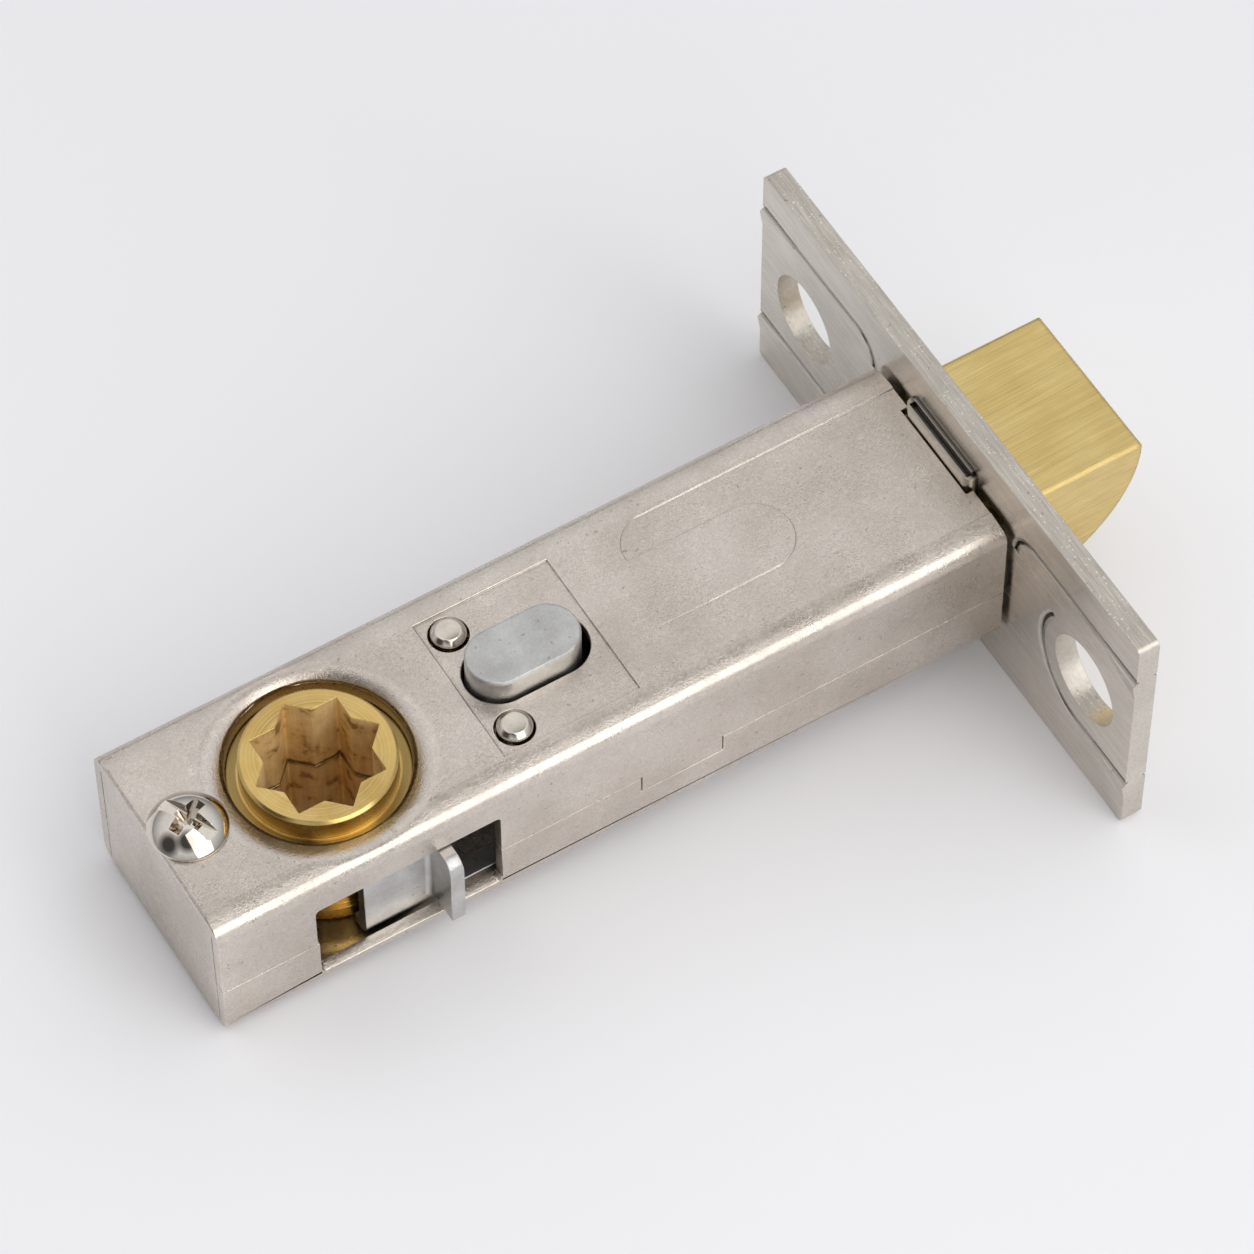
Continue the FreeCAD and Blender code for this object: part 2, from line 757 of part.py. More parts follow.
# Hub of two halves, each driven by its own spindle end
def star_hole():
    notch = star_across_flats / 2 / math.cos(math.pi / star_points)
    points = []
    for i in range(2 * star_points):
        radius = star_tip if i % 2 == 0 else notch
        points.append(polar(hub_x, 0, radius, i * 180 / star_points, -far / 2))
    return closed(points).extrude(Vector(0, 0, far))


def cam(z0, z1):
    """Sector that swings against the retractor's lips; its flanks are hollow."""
    radii = (cam_radius, hub_core_radius + cam_hollow_step, hub_core_radius + cam_root_step)
    flank = list(zip(radii, cam_flank_angles))
    near = [polar(hub_x, 0, r, -a, z0) for r, a in flank]
    off = [polar(hub_x, 0, r, a, z0) for r, a in flank]
    nose = polar(hub_x, 0, cam_radius, 0, z0)
    centre = Vector(hub_x, 0, z0)
    edges = [arc(near[0], nose, off[0]), arc(off[0], off[1], off[2]),
             line(off[2], centre), line(centre, near[2]), arc(near[2], near[1], near[0])]
    return prism(edges, Vector(0, 0, z1 - z0))


def make_hub_upper():
    low = hub_split_gap / 2
    core = rod_z(hub_x, 0, hub_core_radius, low, cam_top)
    neck = rod_z(hub_x, 0, hub_boss_radius, cam_top, hub_boss_height)
    edges = [e for e in neck.Edges if abs(e.BoundBox.ZMin - hub_boss_height) < 1e-6]
    neck = neck.makeChamfer(hub_boss_chamfer, edges)
    flange = rod_z(hub_x, 0, hub_flange_radius, flange_low, flange_top)
    journal = rod_z(hub_x, 0, hub_journal_radius, flange_low, hub_journal_top)
    return core.fuse([neck, flange, journal, cam(low, cam_top)]).cut(star_hole())


def make_hub_lower():
    top = -hub_split_gap / 2
    shoulder = -inner_half_height + slide / 2
    core = rod_z(hub_x, 0, hub_core_radius, cam_bottom, top)
    neck = rod_z(hub_x, 0, hub_boss_radius, shoulder, cam_bottom)
    journal = rod_z(hub_x, 0, hub_lower_radius, -hub_lower_length, shoulder)
    edges = [e for e in journal.Edges if abs(e.BoundBox.ZMax + hub_lower_length) < 1e-6]
    journal = journal.makeChamfer(hub_boss_chamfer, edges)
    return core.fuse([neck, journal, cam(cam_bottom, top)]).cut(star_hole())


# Privacy plunger with its posts and detent wire
def make_privacy_plunger():
    body = obround_z(-plunger_rear, -plunger_front, plunger_half_width, plunger_bottom, plunger_top)
    rim = [e for e in body.Edges if abs(e.BoundBox.ZMin - plunger_top) < 1e-6]
    body = body.makeChamfer(plunger_chamfer, rim)
    reach = detent_wire / 2 + web_clearance
    groove = block(-far, -plunger_rear + detent_bite + web_clearance, -far, far,
                   detent_z - reach, detent_z + plunger_push + reach)
    tap = rod_z(-(plunger_rear + plunger_front) / 2, 0, plunger_tap_radius,
                plunger_bottom - 1, plunger_bottom + plunger_tap_depth)
    return body.cut([groove, tap])


def make_guide_post(side):
    shoulder = -inner_half_height + snug
    post = rod_z(post_x, side * post_y, post_radius, shoulder, post_top)
    tip = [e for e in post.Edges if abs(e.BoundBox.ZMin - post_top) < 1e-6]
    post = post.makeChamfer(post_chamfer, tip)
    tail = rod_z(post_x, side * post_y, post_tail_radius, -case_half_height + snug, shoulder)
    return post.fuse(tail)


def make_detent_spring():
    """A wire behind both posts, bowed forward into the plunger's groove."""
    radius = detent_wire / 2
    back_x = post_x - post_radius - radius - snug
    bow_x = -plunger_rear + detent_bite - radius
    end_a = Vector(back_x, -detent_end_y, detent_z)
    knee_y = post_y - post_radius + slide
    knee_a = Vector(back_x, -knee_y, detent_z)
    crest = Vector(bow_x, 0, detent_z)
    knee_b = Vector(back_x, knee_y, detent_z)
    end_b = Vector(back_x, detent_end_y, detent_z)
    path = Part.Wire([line(end_a, knee_a), arc(knee_a, crest, knee_b), line(knee_b, end_b)])
    section = wire_section(end_a, radius, Vector(1, 0, 0), Vector(0, 0, 1))
    return path.makePipeShell([section], True, False, 1)


# Closing screw and pillar
def make_closing_screw():
    seat = case_half_height + snug
    rise = screw_head_height
    ball = (screw_head_radius ** 2 + rise ** 2) / (2 * rise)
    dome = Part.makeSphere(ball, Vector(screw_x, 0, seat + rise - ball))
    head = dome.common(rod_z(screw_x, 0, screw_head_radius, seat, seat + rise + 1))
    shaft = rod_z(screw_x, 0, screw_radius, case_half_height - screw_length, seat + rise / 2)
    screw = head.fuse(shaft)
    top = seat + rise
    half = screw_slot_width / 2
    slot = block(screw_x - far, screw_x + far, -half, half, top - screw_slot_depth, top + 1)
    reach = screw_cross_reach
    cross = block(screw_x - half, screw_x + half, -reach, reach,
                  top - screw_cross_depth, top + 1)
    for cutter in (slot, cross):
        cutter.rotate(Vector(screw_x, 0, 0), Vector(0, 0, 1), screw_turn)
    return screw.cut([slot, cross])


def make_closing_pillar():
    shoulder = -inner_half_height + snug
    top = inner_half_height - slide
    body = rod_z(screw_x, 0, pillar_radius, shoulder, top)
    tail = rod_z(screw_x, 0, pillar_tail_radius, -case_half_height + snug, shoulder)
    thread = rod_z(screw_x, 0, screw_radius + snug, case_half_height - screw_length - 1, top + 1)
    return body.fuse(tail).cut(thread)


save("upper_shell", make_upper_shell())
save("lower_shell", make_lower_shell())
save("base_plate", make_base_plate())
save("bolt_head", make_bolt_head())
save("bolt_shank", make_bolt_shank())
save("shank_pin", make_shank_pin())
save("drive_pin", make_drive_pin())
save("bolt_guide_left", make_bolt_guide(1))
save("bolt_guide_right", make_bolt_guide(-1))
save("bolt_spring", make_bolt_spring())
save("spring_seat", make_spring_seat())
save("spring_washer", make_spring_washer())
save("retractor", make_retractor())
save("hub_upper", make_hub_upper())
save("hub_lower", make_hub_lower())
save("privacy_plunger", make_privacy_plunger())
save("guide_post_left", make_guide_post(1))
save("guide_post_right", make_guide_post(-1))
save("detent_spring", make_detent_spring())
save("closing_screw", make_closing_screw())
save("closing_pillar", make_closing_pillar())
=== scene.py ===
import math

import bmesh
import bpy
from mathutils import Matrix, Vector


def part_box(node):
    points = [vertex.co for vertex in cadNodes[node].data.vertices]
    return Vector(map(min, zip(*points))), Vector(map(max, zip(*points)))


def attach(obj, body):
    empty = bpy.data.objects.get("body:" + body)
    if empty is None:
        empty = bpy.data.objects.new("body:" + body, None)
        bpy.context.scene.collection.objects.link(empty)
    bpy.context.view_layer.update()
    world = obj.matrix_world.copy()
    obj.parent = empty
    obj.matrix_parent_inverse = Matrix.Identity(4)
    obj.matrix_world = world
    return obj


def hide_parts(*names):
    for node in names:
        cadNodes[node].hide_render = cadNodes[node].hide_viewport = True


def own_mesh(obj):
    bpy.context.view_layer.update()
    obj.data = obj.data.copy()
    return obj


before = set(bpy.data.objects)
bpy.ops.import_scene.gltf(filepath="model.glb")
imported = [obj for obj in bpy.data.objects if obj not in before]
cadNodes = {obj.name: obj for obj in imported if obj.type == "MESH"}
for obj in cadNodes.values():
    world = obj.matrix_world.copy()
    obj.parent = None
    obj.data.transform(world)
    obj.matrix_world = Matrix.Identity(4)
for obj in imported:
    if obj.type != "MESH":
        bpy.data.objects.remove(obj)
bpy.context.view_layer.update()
mm = 0.001
print("frame loaded:", len(cadNodes), "nodes")


# Helpers
def hexColour(code):
    channels = [int(code[i:i + 2], 16) / 255 for i in (1, 3, 5)]
    linear = [c / 12.92 if c <= 0.04045 else ((c + 0.055) / 1.055) ** 2.4 for c in channels]
    return (*linear, 1.0)


def perMetre(widthMm):
    # scale of a pattern whose features are that wide
    return 1 / (widthMm * mm)


def addNode(tree, kind, inputs=None, stops=None, **settings):
    # a node given whole stands for its first output; stops are a colour ramp's
    made = tree.nodes.new(kind)
    for name, value in settings.items():
        setattr(made, name, value)
    for key, value in (inputs or {}).items():
        if value is None:
            continue
        if isinstance(value, bpy.types.Node):
            value = value.outputs[0]
        if isinstance(value, bpy.types.NodeSocket):
            tree.links.new(value, made.inputs[key])
        else:
            made.inputs[key].default_value = value
    if stops:
        elements = made.color_ramp.elements
        while len(elements) < len(stops):
            elements.new(0.5)
        for element, (position, colour) in zip(elements, stops):
            element.position = position
            element.color = hexColour(colour)
    return made


def linkObject(name, data):
    made = bpy.data.objects.new(name, data)
    bpy.context.scene.collection.objects.link(made)
    return made


def plainMesh(piece):
    # modifiers become plain faces, so the piece can ride and be exported as it looks
    graph = bpy.context.evaluated_depsgraph_get()
    baked = bpy.data.meshes.new_from_object(piece.evaluated_get(graph), depsgraph=graph)
    piece.modifiers.clear()
    piece.data = baked
    return piece


def softened(piece, widthMm, segments, **limit):
    # edges broken by that width, the faces between them still flat to the eye
    soften = piece.modifiers.new("brokenEdges", "BEVEL")
    soften.width = widthMm * mm
    soften.segments = segments
    for name, value in limit.items():
        setattr(soften, name, value)
    flatten = piece.modifiers.new("flatFaces", "WEIGHTED_NORMAL")
    flatten.keep_sharp = True
    return piece


def fit(piece, material, body, slot, *stoodFor):
    piece.data.materials.clear()
    piece.data.materials.append(material)
    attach(piece, body)
    if stoodFor:
        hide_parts(*stoodFor)
    return piece


# Materials
def startMaterial(name, metallic, roughness):
    material = bpy.data.materials.new(name)
    material.use_nodes = True
    tree = material.node_tree
    shader = tree.nodes["Principled BSDF"]
    shader.inputs["Metallic"].default_value = metallic
    shader.inputs["Roughness"].default_value = roughness
    return material, tree, shader


def finishMaterial(tree, shader, **surface):
    # colour, roughness, metallic and normal onto the shader's own sockets
    for name, value in surface.items():
        output = value.outputs[0] if isinstance(value, bpy.types.Node) else value
        tree.links.new(output, shader.inputs[name.replace("_", " ")])


def placed(tree, centre=(0, 0, 0), scale=(1, 1, 1), turn=(0, 0, 0)):
    # object coordinates moved to a centre and drawn out along an axis
    place = addNode(tree, "ShaderNodeTexCoord").outputs["Object"]
    return addNode(tree, "ShaderNodeMapping",
                   {"Vector": place, "Location": [c * mm for c in centre],
                    "Rotation": [math.radians(a) for a in turn], "Scale": scale},
                   vector_type="TEXTURE")


def toned(tree, colour, pattern, start, stop, low, high):
    # colour times a tone that goes from low to high while the pattern goes from start to stop
    tone = addNode(tree, "ShaderNodeMapRange", {"Value": pattern, "From Min": start,
                                                "From Max": stop, "To Min": low, "To Max": high})
    return addNode(tree, "ShaderNodeVectorMath", {0: colour, 1: tone}, operation="MULTIPLY")


def paintedCreviceShade(tree, colour, look):
    # painted shade in narrow grooves and inner corners, darker where little around them is open
    openness = addNode(tree, "ShaderNodeAmbientOcclusion", {"Distance": look["creviceShadeMm"] * mm},
                       samples=6, only_local=True).outputs["AO"]
    closed, clear = look.get("grimeFrom", 0.55), look.get("grimeTo", 0.92)
    return toned(tree, colour, openness, closed, clear, look["creviceShadeTone"], 1.0)


def wornAndPaintedSheen(tree, colour, look):
    # brighter on outer edges and burrs, in patches: partly rubbed wear, partly a painted highlight
    rubAndSheen = {"patchMm": 0.7, "patchFrom": 0.4, "patchTo": 0.6, "edgeFrom": 0.5, "edgeTo": 0.9}
    thickness = addNode(tree, "ShaderNodeAmbientOcclusion", {"Distance": look["rubAndSheenMm"] * mm},
                        samples=4, inside=True, only_local=True).outputs["AO"]
    patch = addNode(tree, "ShaderNodeTexNoise",
                    {"Vector": placed(tree), "Scale": perMetre(rubAndSheen["patchMm"]), "Detail": 2,
                     "Roughness": 0.55})
    shine = addNode(tree, "ShaderNodeMapRange",
                    {"Value": patch, "From Min": rubAndSheen["patchFrom"], "From Max": rubAndSheen["patchTo"],
                     "To Min": 1.0, "To Max": look["rubAndSheenTone"]})
    onEdge = addNode(tree, "ShaderNodeMapRange",
                     {"Value": thickness, "From Min": rubAndSheen["edgeFrom"], "From Max": rubAndSheen["edgeTo"],
                      "To Min": 1.0, "To Max": 0.0})
    lift = addNode(tree, "ShaderNodeMix", {"Factor": onEdge, 2: 1.0, 3: shine},
                   data_type="FLOAT")
    return addNode(tree, "ShaderNodeVectorMath", {0: colour, 1: lift}, operation="MULTIPLY")


def fallAway(tree, distance, startMm, steepness):
    # height that drops faster and faster past a distance, as drawn sheet does near a bend
    past = distance
    for operation, value in (("SUBTRACT", startMm * mm), ("MAXIMUM", 0.0), ("POWER", 2.0),
                             ("MULTIPLY", -steepness / mm)):
        past = addNode(tree, "ShaderNodeMath", {0: past, 1: value}, operation=operation)
    return past


def drawnDown(tree, look, normal):
    # the crown rolls off towards its long edges and into the hub's hole
    side = addNode(tree, "ShaderNodeSeparateXYZ", {"Vector": placed(tree)}).outputs["Y"]
    across = addNode(tree, "ShaderNodeMath", {0: side}, operation="ABSOLUTE")
    inwards = addNode(tree, "ShaderNodeVectorMath", {0: placed(tree, look["hole"]), 1: (1, 1, 0)},
                      operation="MULTIPLY")
    reach = addNode(tree, "ShaderNodeVectorMath", {0: inwards}, operation="LENGTH")
    inwards = addNode(tree, "ShaderNodeMath", {0: reach.outputs["Value"], 1: -1.0},
                      operation="MULTIPLY")
    edgeRoll = fallAway(tree, across, look["rollFromMm"], look["rollSteepness"])
    rimRoll = fallAway(tree, inwards, -look["rimFromMm"], look["rimSteepness"])
    height = addNode(tree, "ShaderNodeMath", {0: edgeRoll, 1: rimRoll})
    return addNode(tree, "ShaderNodeBump", {"Height": height, "Distance": 1.0, "Normal": normal})


def shearMarks(tree, colour, look):
    # ridges that the blanking die left on the plate's cut edges, with painted glints on them; the
    # cut edges are duller
    ridges = addNode(tree, "ShaderNodeTexNoise",
                     {"Vector": placed(tree, scale=look["ridgeDrawn"]), "Detail": 3,
                      "Scale": perMetre(look["ridgeMm"]), "Roughness": 0.55})
    glints = addNode(tree, "ShaderNodeTexNoise",
                     {"Vector": placed(tree), "Detail": 1, "Scale": perMetre(look["glintMm"]),
                      "Roughness": 0.55})
    facing = addNode(tree, "ShaderNodeSeparateXYZ",
                     {"Vector": addNode(tree, "ShaderNodeNewGeometry").outputs["True Normal"]})
    upright = addNode(tree, "ShaderNodeMath", {0: facing.outputs["Z"]}, operation="ABSOLUTE")
    slant = addNode(tree, "ShaderNodeMath", {0: facing.outputs["X"]}, operation="ABSOLUTE")
    onEdge = addNode(tree, "ShaderNodeMapRange",
                     {"Value": upright, "From Min": 0.9, "From Max": 0.97, "To Min": 0.0,
                      "To Max": 1.0})
    marked = toned(tree, colour, ridges, 0.35, 0.65, look["ridgeDark"], 1.0)
    # painted glints: rare specks of the cut edge's colour made brighter
    marked = toned(tree, marked, glints, 0.67, 0.71, 1.0, look["glintTone"])
    mixed = addNode(tree, "ShaderNodeMix", {"Factor": onEdge, 6: colour, 7: marked},
                    data_type="RGBA")
    depth = addNode(tree, "ShaderNodeMath", {0: ridges, 1: onEdge}, operation="MULTIPLY")
    dull = addNode(tree, "ShaderNodeMapRange",
                   {"Value": slant, "From Min": 0.2, "From Max": 0.5,
                    "To Min": look["cutRoughness"], "To Max": 0.0})
    return mixed.outputs[2], depth, dull


def coinedLines(tree, look):
    # shoulders beside the coined lines on the plate's back: each line is a run along Y
    # that bends round a centre, and ends at a height and on one side of the plate
    place = addNode(tree, "ShaderNodeSeparateXYZ", {"Vector": placed(tree)})
    side, height = place.outputs["Y"], place.outputs["Z"]
    total = None
    for line in look["lines"]:
        centreY, centreZ = line["centre"]
        across = addNode(tree, "ShaderNodeMath", {0: side}, operation="ABSOLUTE")
        for operation, value in (("SUBTRACT", centreY * mm), ("MINIMUM", 0.0)):
            across = addNode(tree, "ShaderNodeMath", {0: across, 1: value}, operation=operation)
        rise = addNode(tree, "ShaderNodeMath", {0: height, 1: centreZ * mm},
                       operation="SUBTRACT")
        away = addNode(tree, "ShaderNodeCombineXYZ", {"X": across, "Y": rise})
        reach = addNode(tree, "ShaderNodeVectorMath", {0: away}, operation="LENGTH")
        off = addNode(tree, "ShaderNodeMath", {0: reach.outputs["Value"], 1: line["radius"] * mm},
                      operation="SUBTRACT")
        off = addNode(tree, "ShaderNodeMath", {0: off}, operation="ABSOLUTE")
        share = addNode(tree, "ShaderNodeMapRange",
                        {"Value": off, "From Min": 0.0, "From Max": look["lineMm"] * mm,
                         "To Min": 1.0, "To Max": 0.0})
        for measured, (test, limitMm) in ((height, line["height"]), (side, line["side"])):
            within = addNode(tree, "ShaderNodeMath", {0: measured, 1: limitMm * mm},
                             operation=test)
            share = addNode(tree, "ShaderNodeMath", {0: share, 1: within}, operation="MULTIPLY")
        total = addNode(tree, "ShaderNodeMath", {0: total, 1: share}) if total else share
    facing = addNode(tree, "ShaderNodeSeparateXYZ",
                     {"Vector": addNode(tree, "ShaderNodeNewGeometry").outputs["True Normal"]})
    onBack = addNode(tree, "ShaderNodeMath", {0: facing.outputs["X"], 1: -0.9},
                     operation="LESS_THAN")
    return addNode(tree, "ShaderNodeMath", {0: total, 1: onBack}, operation="MULTIPLY")


def platedSteel(name, look):
    # plated sheet: cloudy tone, the steel's grain under the plating, smears, a few dark specks
    material, tree, shader = startMaterial(name, 1.0, look["roughness"])
    plain = placed(tree)
    drawn = placed(tree, scale=look.get("drawn", (1, 1, 1)))
    layers = {}
    for layer, place, widthMm, detail, harshness, curl in (
            ("grain", drawn, look["grainMm"], 2, 0.5, look.get("curl", 0.0)),
            ("smear", drawn, look["smearMm"], 5, 0.55, 0.0),
            ("cloud", plain, look["cloudMm"], 4, 0.55, 0.0),
            ("speck", plain, 0.5, 1, 0.55, 0.0),
            ("wave", plain, look["waveMm"], 2, 0.55, 0.0)):
        layers[layer] = addNode(tree, "ShaderNodeTexNoise",
                                {"Vector": place, "Scale": perMetre(widthMm), "Detail": detail,
                                 "Roughness": harshness, "Distortion": curl})
    colour = addNode(tree, "ShaderNodeValToRGB", {"Fac": layers["cloud"]},
                     [(0.3, look["dark"]), (0.7, look["light"])])
    tone = look["grainTone"]
    colour = toned(tree, colour, layers["grain"], 0.35, 0.65, 1 - tone, 1 + tone)
    colour = toned(tree, colour, layers["speck"], 0.735, 0.76, 1.0, 0.7)
    # painted shade in crevices
    if "creviceShadeMm" in look:
        colour = paintedCreviceShade(tree, colour, look)
    # rubbed wear and a painted highlight on outer edges
    if "rubAndSheenMm" in look:
        colour = wornAndPaintedSheen(tree, colour, look)
    spread = look["spread"]
    roughness = addNode(tree, "ShaderNodeMapRange",
                        {"Value": layers["smear"], "From Min": 0.3, "From Max": 0.7,
                         "To Min": look["roughness"] - spread,
                         "To Max": look["roughness"] + spread})
    normal = None
    if "edgeMm" in look:
        normal = addNode(tree, "ShaderNodeBevel", {"Radius": look["edgeMm"] * mm}, samples=6)
    normal = addNode(tree, "ShaderNodeBump",
                     {"Height": layers["wave"], "Distance": look["waveDepth"] * mm,
                      "Normal": normal})
    if "rollFromMm" in look:
        normal = drawnDown(tree, look, normal)
    if "lines" in look:
        sunk = coinedLines(tree, look)
        # painted shade along the coined lines, darker in a band round each
        colour = toned(tree, colour, sunk, 0.0, 1.0, 1.0, look["lineShadeTone"])
        normal = addNode(tree, "ShaderNodeBump",
                         {"Height": sunk, "Distance": -look["lineDepth"] * mm, "Normal": normal})
    if "ridgeMm" in look:
        colour, ridges, dull = shearMarks(tree, colour, look)
        normal = addNode(tree, "ShaderNodeBump",
                         {"Height": ridges, "Distance": look["ridgeDepth"] * mm,
                          "Normal": normal})
        roughness = addNode(tree, "ShaderNodeMath", {0: roughness, 1: dull})
    normal = addNode(tree, "ShaderNodeBump",
                     {"Height": layers["grain"], "Distance": look["grainDepth"] * mm,
                      "Normal": normal})
    finishMaterial(tree, shader, Base_Color=colour, Roughness=roughness, Normal=normal)
    return material


# Dull nickel plate on pressed mild steel: the blank's orange peel shows through as a curly grain
nickelPressedSteel = platedSteel("nickel_plated_pressed_steel", {
    "dark": "#C8BEB4", "light": "#DFD6CD", "roughness": 0.29, "spread": 0.06,
    "cloudMm": 9, "smearMm": 4, "grainMm": 0.36, "grainDepth": 0.029, "grainTone": 0.09,
    "curl": 2.0, "waveMm": 6, "waveDepth": 0.035, "creviceShadeMm": 0.35, "creviceShadeTone": 0.6,
    "rubAndSheenMm": 0.14, "rubAndSheenTone": 1.3, "rollFromMm": 7.9, "rollSteepness": 0.06,
    "hole": (-62, 0, 0), "rimFromMm": 9.9, "rimSteepness": 0.22})

# Brighter nickel on stamped plate, with long shear marks and coined lines
nickelStampedPlate = platedSteel("nickel_plated_stamped_steel", {
    "dark": "#CCC5BB", "light": "#DDD6CC", "roughness": 0.24, "spread": 0.07,
    "cloudMm": 7, "smearMm": 3, "grainMm": 0.3, "grainDepth": 0.008, "grainTone": 0.06,
    "waveMm": 3.0, "waveDepth": 0.006, "drawn": (1, 14, 1), "edgeMm": 0.07,
    "creviceShadeMm": 0.5, "creviceShadeTone": 0.12, "ridgeMm": 0.09, "ridgeDrawn": (1, 40, 1),
    "ridgeDark": 0.74, "ridgeDepth": 0.008, "glintMm": 0.22, "glintTone": 1.5,
    "cutRoughness": 0.22, "lineMm": 0.5, "lineDepth": 0.16, "lineShadeTone": 0.8,
    "lines": [{"centre": (13.5, 5.7), "radius": 2.6, "height": ("GREATER_THAN", 5.7),
               "side": ("LESS_THAN", 99)},
              {"centre": (21.7, -0.4), "radius": 6.3, "height": ("LESS_THAN", 3.65),
               "side": ("LESS_THAN", 0)},
              {"centre": (14.98, 4.8), "radius": 11.5, "height": ("LESS_THAN", 0),
               "side": ("GREATER_THAN", 0)}]})

# Clear zinc plate: greyer than nickel, with a fine curly spangle; the button is tumbled round
zincLook = {
    "dark": "#BDBCBA", "light": "#D4D4D2", "roughness": 0.36, "spread": 0.06,
    "cloudMm": 3, "smearMm": 2, "grainMm": 0.4, "grainDepth": 0.022, "grainTone": 0.06,
    "curl": 2.0, "waveMm": 1.6, "waveDepth": 0.004}
zincPlatedSteel = platedSteel("zinc_plated_steel", zincLook)
zincPlatedButton = platedSteel("zinc_plated_tumbled_button", {**zincLook, "edgeMm": 0.4})

# Bright nickel over turned steel: mirror-like pins, and a screw that is brighter still
nickelPin = platedSteel("nickel_plated_turned_pin", {
    "dark": "#CFC6BB", "light": "#E2DACE", "roughness": 0.16, "spread": 0.04,
    "cloudMm": 1.5, "smearMm": 1, "grainMm": 0.3, "grainDepth": 0.002, "grainTone": 0.03,
    "waveMm": 0.9, "waveDepth": 0.003})
brightNickelScrew = platedSteel("bright_nickel_screw", {
    "dark": "#D2CAC0", "light": "#E0D9CF", "roughness": 0.07, "spread": 0.03,
    "cloudMm": 2, "smearMm": 1.5, "grainMm": 0.4, "grainDepth": 0.001, "grainTone": 0.02,
    "waveMm": 1.4, "waveDepth": 0.004})

# Drawn bright steel and spring wire: lines along the drawing, seen only through the openings
drawnSteel = platedSteel("drawn_bright_steel", {
    "dark": "#A9A9A8", "light": "#C4C4C2", "roughness": 0.25, "spread": 0.05,
    "cloudMm": 2, "smearMm": 2, "grainMm": 0.2, "grainDepth": 0.002, "grainTone": 0.05,
    "waveMm": 2.0, "waveDepth": 0.002, "drawn": (12, 1, 1)})
springWire = platedSteel("drawn_spring_wire", {
    "dark": "#6E6C69", "light": "#8A8884", "roughness": 0.3, "spread": 0.05,
    "cloudMm": 1.5, "smearMm": 1, "grainMm": 0.2, "grainDepth": 0.002, "grainTone": 0.05,
    "waveMm": 1.0, "waveDepth": 0.002})


